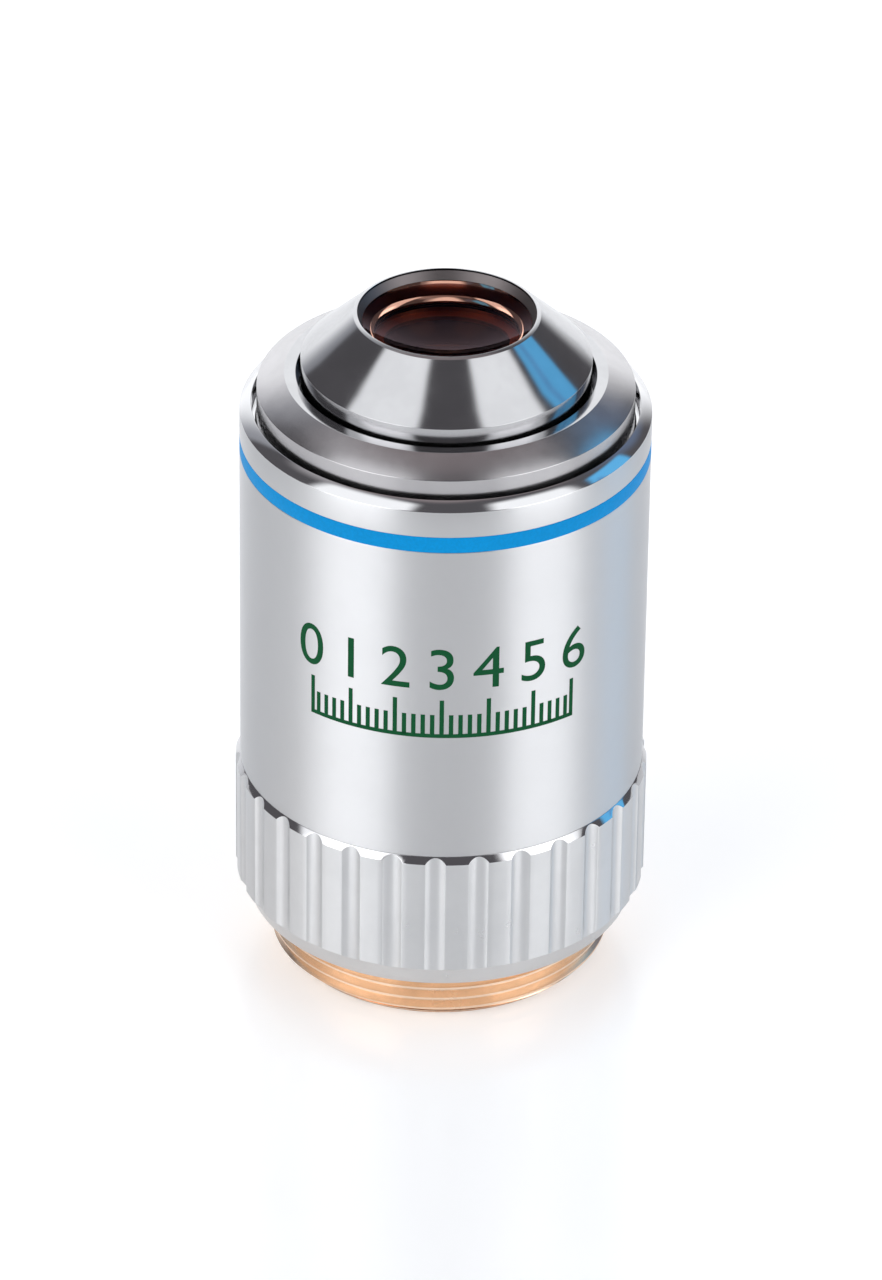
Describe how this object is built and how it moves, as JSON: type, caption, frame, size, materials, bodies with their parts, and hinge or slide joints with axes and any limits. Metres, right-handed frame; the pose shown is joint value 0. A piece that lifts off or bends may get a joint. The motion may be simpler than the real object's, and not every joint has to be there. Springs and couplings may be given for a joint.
{
  "type": "microscope objective",
  "caption": "Cylindrical microscope objective with a sprung conical nose, a fluted grip ring, a colour band and a screw mount.",
  "frame": {"origin": "on the axis, at the end face of the screw thread", "axes": "+Z along the optical axis from the thread to the nose; +Y from the front seen in the picture to the back"},
  "size_m": [0.0246, 0.0246, 0.0425],
  "materials": {
    "brass_mount": "turned, bright, reddish brass",
    "grip_chrome": "satin chrome with a polished chamfer",
    "barrel_chrome": "fine satin chrome with a polished mouth",
    "nose_chrome": "polished chrome",
    "cone_chrome": "mirror polished chrome",
    "band_enamel": "light blue enamel",
    "spring_steel": "drawn spring steel",
    "screw_steel": "oiled steel",
    "black_cell": "black anodised, matt",
    "front_glass": "polished, coated, amber reflection",
    "coated_glass": "polished, coated",
    "rear_glass": "polished, coated, green reflection",
    "phase_film": "thin dark metal film"
  },
  "bodies": {
    "barrel": {"mount_base": "brass_mount", "grip_ring": "grip_chrome", "outer_barrel": "barrel_chrome", "colour_ring": "band_enamel", "spring_washer": "spring_steel", "return_spring": "spring_steel"},
    "nose": {"nose_sleeve": "nose_chrome", "guide_screw": "screw_steel", "front_cell": "cone_chrome", "front_lens": "front_glass", "second_cell": "black_cell", "second_lens": "coated_glass", "doublet_cell": "black_cell", "doublet_front_lens": "coated_glass", "doublet_rear_lens": "coated_glass", "triplet_cell": "black_cell", "triplet_front_lens": "coated_glass", "triplet_middle_lens": "coated_glass", "triplet_rear_lens": "coated_glass", "stack_spacer": "black_cell", "phase_cell": "black_cell", "phase_plate": "coated_glass", "phase_ring": "phase_film", "rear_spacer": "black_cell", "rear_cell": "black_cell", "rear_front_lens": "coated_glass", "rear_back_lens": "rear_glass", "stack_retainer": "black_cell"}
  },
  "joints": [
    {"name": "nose_retract", "type": "slide", "parent": "barrel", "child": "nose", "axis": [0, 0, -1], "range_m": [0, 0.002], "stiffness_N_per_m": 1000, "springref_m": -0.003, "deforming": ["return_spring"]}
  ]
}
